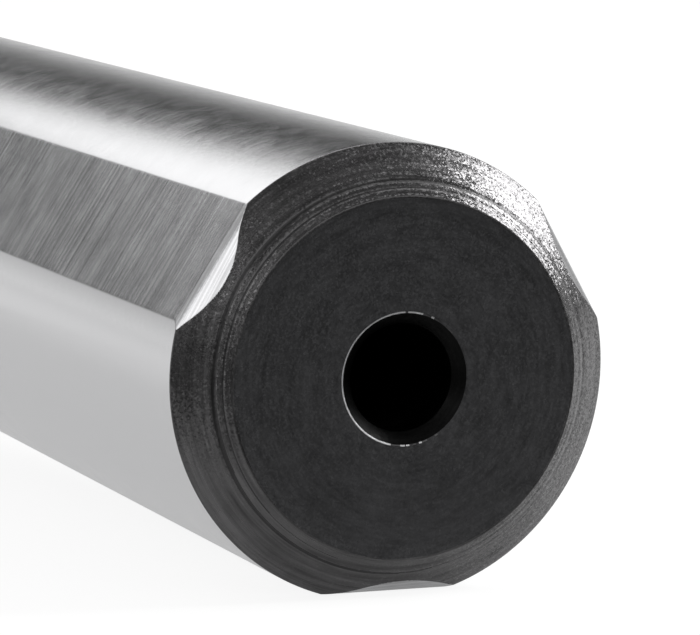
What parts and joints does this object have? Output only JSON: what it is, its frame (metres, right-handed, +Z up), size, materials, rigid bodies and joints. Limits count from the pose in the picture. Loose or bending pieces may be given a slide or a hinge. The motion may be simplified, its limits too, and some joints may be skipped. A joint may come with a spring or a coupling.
{
  "type": "countersink bit",
  "caption": "One-piece countersink bit with a fluted ninety-degree cutting head and a round shank with driving flats and a centre hole",
  "frame": {"origin": "on the surface the bit lies on, under the middle of its length", "axes": "+X runs along the bit from the tip to the end of the shank, +Z is up; the axis drops 2.3 degrees towards the shank's end, because the bit lies on its head and on one flat"},
  "size_m": [0.0562, 0.0124, 0.012],
  "materials": {
    "ground_steel": "ground high-speed steel, with a dark turned end"
  },
  "bodies": {
    "root": {"countersink_bit": "ground_steel"}
  },
  "joints": []
}
